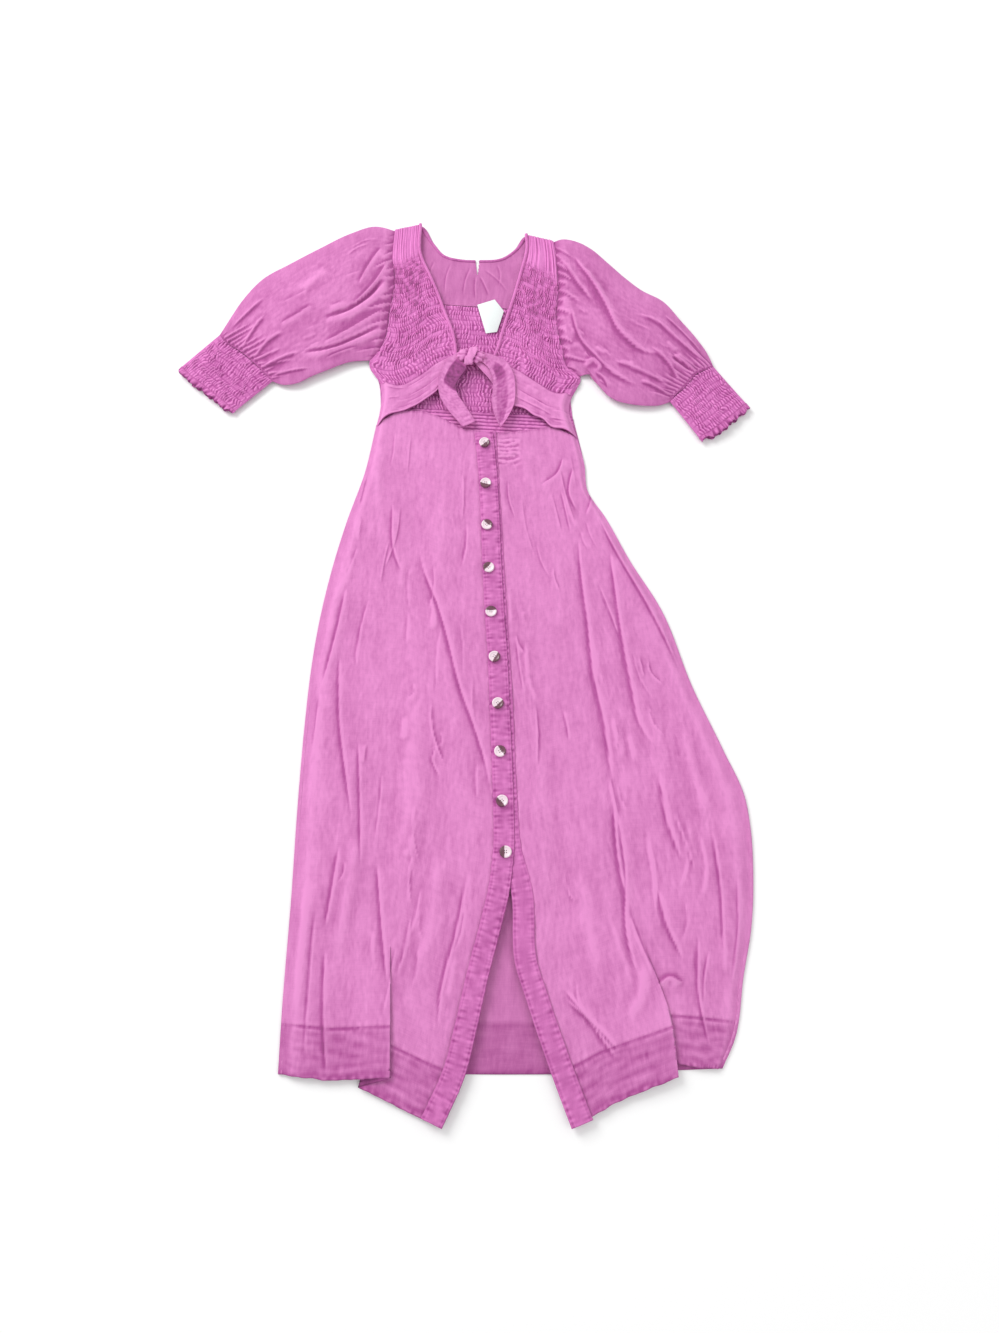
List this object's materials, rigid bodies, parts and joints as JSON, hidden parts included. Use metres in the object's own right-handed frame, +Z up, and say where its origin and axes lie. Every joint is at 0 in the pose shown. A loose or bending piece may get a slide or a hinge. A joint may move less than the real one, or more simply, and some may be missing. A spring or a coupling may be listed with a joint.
{
  "type": "tie-front dress",
  "caption": "Smocked tie-front maxi dress with puffed sleeves and a button-front skirt, laid flat on its back.",
  "frame": {"origin": "on the surface the dress lies on, under the middle of its bounding box", "axes": "+Y from the hem towards the neck, +X towards the wearer's left, +Z up out of the front of the dress"},
  "size_m": [0.955, 1.4692, 0.0244],
  "materials": {
    "cloth": "garment-dyed orchid pink linen-look plain weave, matt, softly creased",
    "smocking": "the same cloth gathered on rows of elastic thread",
    "trim": "the same cloth doubled and stitched, darker at the seams",
    "button": "horn-look, pearly cream with a dark brown side, polished",
    "tag": "plain white card"
  },
  "bodies": {
    "root": {"back_yoke": "cloth", "skirt_back": "cloth", "waist_band_right": "cloth", "waist_band_left": "cloth", "skirt_front_right": "cloth", "skirt_front_left": "cloth", "tie_knot": "cloth", "back_smocked_panel": "smocking", "front_bodice_right": "smocking", "front_bodice_left": "smocking", "back_waist_shirring": "smocking", "neck_binding_right": "trim", "neck_binding_left": "trim", "hem_back": "trim", "hem_front_right": "trim", "hem_front_left": "trim", "shoulder_seam_right": "trim", "shoulder_seam_left": "trim", "side_seam_right": "trim", "side_seam_left": "trim", "placket_buttonhole": "trim", "placket_button": "trim", "button_1": "button", "button_2": "button", "button_3": "button", "button_4": "button", "button_5": "button", "button_6": "button", "button_7": "button", "button_8": "button", "button_9": "button", "button_10": "button"},
    "sleeve_right": {"sleeve_right": "cloth", "cuff_right": "smocking", "cuff_frill_right": "trim"},
    "sleeve_left": {"sleeve_left": "cloth", "cuff_left": "smocking", "cuff_frill_left": "trim"},
    "corner_right": {"skirt_corner_right": "cloth", "hem_corner_right": "trim", "placket_buttonhole_lower": "trim"},
    "corner_left": {"skirt_corner_left": "cloth", "hem_corner_left": "trim", "placket_button_lower": "trim"},
    "tie_right": {"tie_end_right": "cloth"},
    "tie_left": {"tie_end_left": "cloth"},
    "tag": {"swing_tag": "tag"}
  },
  "joints": [
    {"name": "sleeve_right_fold", "type": "hinge", "parent": "root", "child": "sleeve_right", "pos_m": [-0.118, 0.6, 0.025], "axis": [0, 1, 0], "range_deg": [0, 178]},
    {"name": "sleeve_left_fold", "type": "hinge", "parent": "root", "child": "sleeve_left", "pos_m": [0.1625, 0.56, 0.04], "axis": [0, -1, 0], "range_deg": [0, 178]},
    {"name": "corner_right_fold", "type": "hinge", "parent": "root", "child": "corner_right", "pos_m": [0.08125, -0.42431, 0.013], "axis": [-0.6229, -0.7823, 0], "range_deg": [0, 178]},
    {"name": "corner_left_fold", "type": "hinge", "parent": "root", "child": "corner_left", "pos_m": [0.08625, -0.42431, 0.013], "axis": [-0.6739, 0.7388, 0], "range_deg": [0, 178]},
    {"name": "tie_right_swing", "type": "hinge", "parent": "root", "child": "tie_right", "pos_m": [0.01735, 0.46442, 0.0136], "axis": [0, 0, 1], "range_deg": [-12, 4]},
    {"name": "tie_left_swing", "type": "hinge", "parent": "root", "child": "tie_left", "pos_m": [0.01735, 0.46442, 0.0136], "axis": [0, 0, 1], "range_deg": [-4, 12]},
    {"name": "tag_swing", "type": "hinge", "parent": "root", "child": "tag", "pos_m": [0.04543, 0.58303, 0.0026], "axis": [0, 0, 1], "range_deg": [-8, 8]}
  ]
}
